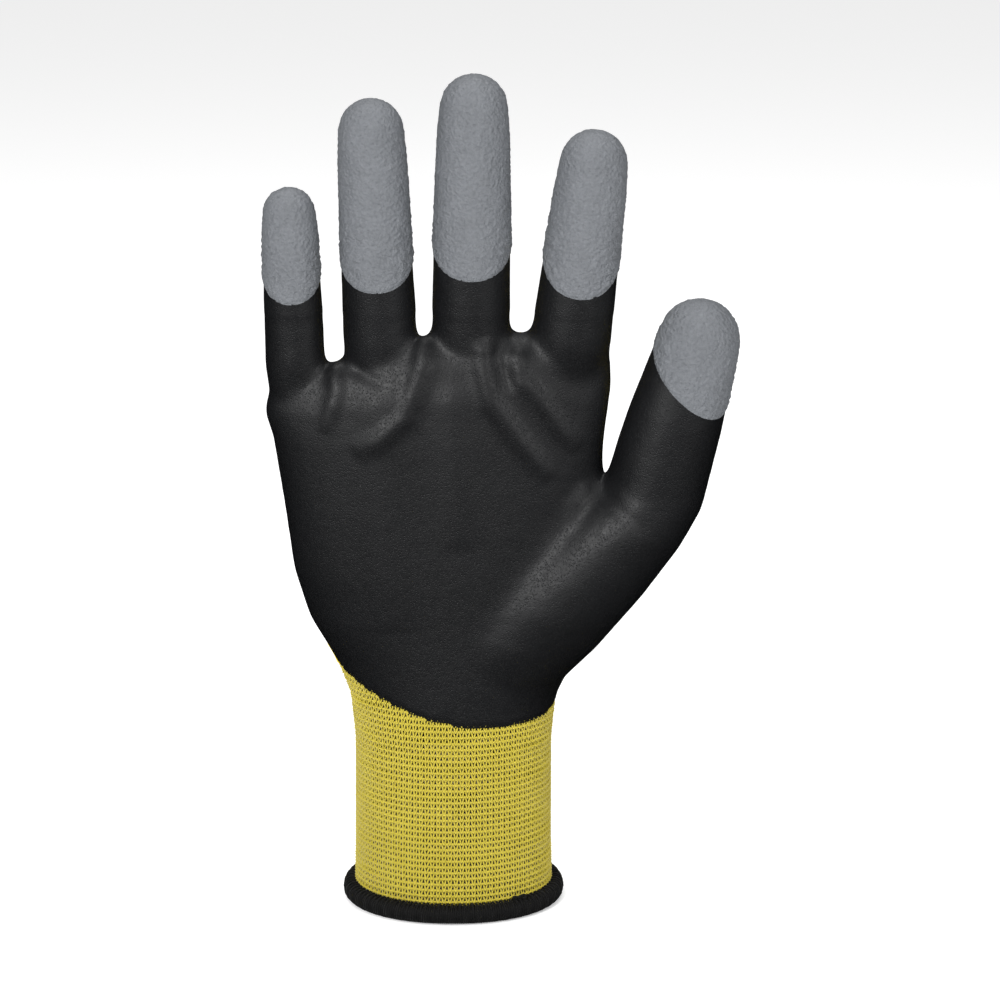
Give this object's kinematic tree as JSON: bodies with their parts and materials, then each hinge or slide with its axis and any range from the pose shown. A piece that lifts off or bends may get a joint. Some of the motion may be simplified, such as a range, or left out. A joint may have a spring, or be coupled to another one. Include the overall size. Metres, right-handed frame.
{
  "type": "cut resistant glove",
  "caption": "Right-hand knitted work glove in its worn shape, with a dipped palm coat, dipped fingertips and an overlocked cuff; it bends at the wrist and every knuckle.",
  "frame": {"origin": "middle of the cuff opening, in the plane of the hem's lower face", "axes": "+Z from the cuff to the fingertips, -Y out of the palm, +X to the thumb side"},
  "size_m": [0.139, 0.0516, 0.2461],
  "materials": {
    "knit": "13-gauge knitted cut resistant yarn, yellow over a black plated inner yarn",
    "palm_coat": "black foam dip, matt with a soft sheen",
    "fingertip_dip": "grey sandy dip, matt",
    "elastic": "covered elastic thread, ivory",
    "hem_thread": "black textured polyester overlock thread",
    "label": "smooth yellow heat-set patch, blank"
  },
  "bodies": {
    "cuff": {"cuff_hem": "hem_thread", "hem_thread_tail": "hem_thread", "cuff_knit": "knit", "cuff_elastic": "elastic"},
    "hand": {"palm_knit": "knit", "palm_coat": "palm_coat", "back_label": "label"},
    "little_base": {"little_base_knit": "knit", "little_base_coat": "palm_coat"},
    "little_mid": {"little_mid_knit": "knit", "little_mid_coat": "palm_coat", "little_mid_cap": "fingertip_dip"},
    "little_tip": {"little_tip_knit": "knit", "little_tip_coat": "palm_coat", "little_tip_cap": "fingertip_dip"},
    "ring_base": {"ring_base_knit": "knit", "ring_base_coat": "palm_coat", "ring_base_cap": "fingertip_dip"},
    "ring_mid": {"ring_mid_knit": "knit", "ring_mid_coat": "palm_coat", "ring_mid_cap": "fingertip_dip"},
    "ring_tip": {"ring_tip_knit": "knit", "ring_tip_coat": "palm_coat", "ring_tip_cap": "fingertip_dip"},
    "middle_base": {"middle_base_knit": "knit", "middle_base_coat": "palm_coat", "middle_base_cap": "fingertip_dip"},
    "middle_mid": {"middle_mid_knit": "knit", "middle_mid_coat": "palm_coat", "middle_mid_cap": "fingertip_dip"},
    "middle_tip": {"middle_tip_knit": "knit", "middle_tip_coat": "palm_coat", "middle_tip_cap": "fingertip_dip"},
    "index_base": {"index_base_knit": "knit", "index_base_coat": "palm_coat", "index_base_cap": "fingertip_dip"},
    "index_mid": {"index_mid_knit": "knit", "index_mid_coat": "palm_coat", "index_mid_cap": "fingertip_dip"},
    "index_tip": {"index_tip_knit": "knit", "index_tip_coat": "palm_coat", "index_tip_cap": "fingertip_dip"},
    "thumb_base": {"thumb_base_knit": "knit", "thumb_base_coat": "palm_coat", "thumb_base_cap": "fingertip_dip"},
    "thumb_tip": {"thumb_tip_knit": "knit", "thumb_tip_coat": "palm_coat", "thumb_tip_cap": "fingertip_dip"}
  },
  "joints": [
    {"name": "wrist_bend", "type": "hinge", "parent": "cuff", "child": "hand", "pos_m": [0, 0, 0.055], "axis": [1, 0, 0], "range_deg": [-35, 35], "stiffness_Nm_per_rad": 0.3},
    {"name": "little_base_bend", "type": "hinge", "parent": "hand", "child": "little_base", "pos_m": [-0.04558, 0, 0.17059], "axis": [0.9989, 0, 0.0471], "range_deg": [-15, 60], "stiffness_Nm_per_rad": 0.06},
    {"name": "little_mid_bend", "type": "hinge", "parent": "little_base", "child": "little_mid", "pos_m": [-0.04633, 0, 0.18657], "axis": [0.9989, 0, 0.0471], "range_deg": [0, 80], "stiffness_Nm_per_rad": 0.04},
    {"name": "little_tip_bend", "type": "hinge", "parent": "little_mid", "child": "little_tip", "pos_m": [-0.04699, 0, 0.20056], "axis": [0.9989, 0, 0.0471], "range_deg": [0, 44], "stiffness_Nm_per_rad": 0.03},
    {"name": "ring_base_bend", "type": "hinge", "parent": "hand", "child": "ring_base", "pos_m": [-0.02091, 0, 0.17968], "axis": [0.9984, 0, 0.0558], "range_deg": [-15, 60], "stiffness_Nm_per_rad": 0.06},
    {"name": "ring_mid_bend", "type": "hinge", "parent": "ring_base", "child": "ring_mid", "pos_m": [-0.02211, 0, 0.20115], "axis": [0.9984, 0, 0.0558], "range_deg": [0, 80], "stiffness_Nm_per_rad": 0.04},
    {"name": "ring_tip_bend", "type": "hinge", "parent": "ring_mid", "child": "ring_tip", "pos_m": [-0.0232, 0, 0.22062], "axis": [0.9984, 0, 0.0558], "range_deg": [0, 44], "stiffness_Nm_per_rad": 0.03},
    {"name": "middle_base_bend", "type": "hinge", "parent": "hand", "child": "middle_base", "pos_m": [0.00567, 0, 0.182], "axis": [0.9999, 0, -0.0157], "range_deg": [-15, 60], "stiffness_Nm_per_rad": 0.06},
    {"name": "middle_mid_bend", "type": "hinge", "parent": "middle_base", "child": "middle_mid", "pos_m": [0.00603, 0, 0.205], "axis": [0.9999, 0, -0.0157], "range_deg": [0, 80], "stiffness_Nm_per_rad": 0.04},
    {"name": "middle_tip_bend", "type": "hinge", "parent": "middle_mid", "child": "middle_tip", "pos_m": [0.00635, 0, 0.22499], "axis": [0.9999, 0, -0.0157], "range_deg": [0, 44], "stiffness_Nm_per_rad": 0.03},
    {"name": "index_base_bend", "type": "hinge", "parent": "hand", "child": "index_base", "pos_m": [0.03542, 0, 0.18003], "axis": [0.9925, 0, -0.1219], "range_deg": [-15, 60], "stiffness_Nm_per_rad": 0.06},
    {"name": "index_mid_bend", "type": "hinge", "parent": "index_base", "child": "index_mid", "pos_m": [0.0378, 0, 0.19938], "axis": [0.9925, 0, -0.1219], "range_deg": [0, 80], "stiffness_Nm_per_rad": 0.04},
    {"name": "index_tip_bend", "type": "hinge", "parent": "index_mid", "child": "index_tip", "pos_m": [0.03993, 0, 0.21675], "axis": [0.9925, 0, -0.1219], "range_deg": [0, 44], "stiffness_Nm_per_rad": 0.03},
    {"name": "thumb_base_bend", "type": "hinge", "parent": "hand", "child": "thumb_base", "pos_m": [0.06123, -0.004, 0.13656], "axis": [0.789, -0.5736, -0.2203], "range_deg": [-15, 40], "stiffness_Nm_per_rad": 0.08},
    {"name": "thumb_tip_bend", "type": "hinge", "parent": "thumb_base", "child": "thumb_tip", "pos_m": [0.06768, -0.004, 0.15967], "axis": [0.789, -0.5736, -0.2203], "range_deg": [0, 60], "stiffness_Nm_per_rad": 0.05}
  ],
  "couplings": [
    {"joint": "little_tip_bend", "follows": "little_mid_bend", "ratio": 0.55},
    {"joint": "ring_tip_bend", "follows": "ring_mid_bend", "ratio": 0.55},
    {"joint": "middle_tip_bend", "follows": "middle_mid_bend", "ratio": 0.55},
    {"joint": "index_tip_bend", "follows": "index_mid_bend", "ratio": 0.55}
  ]
}
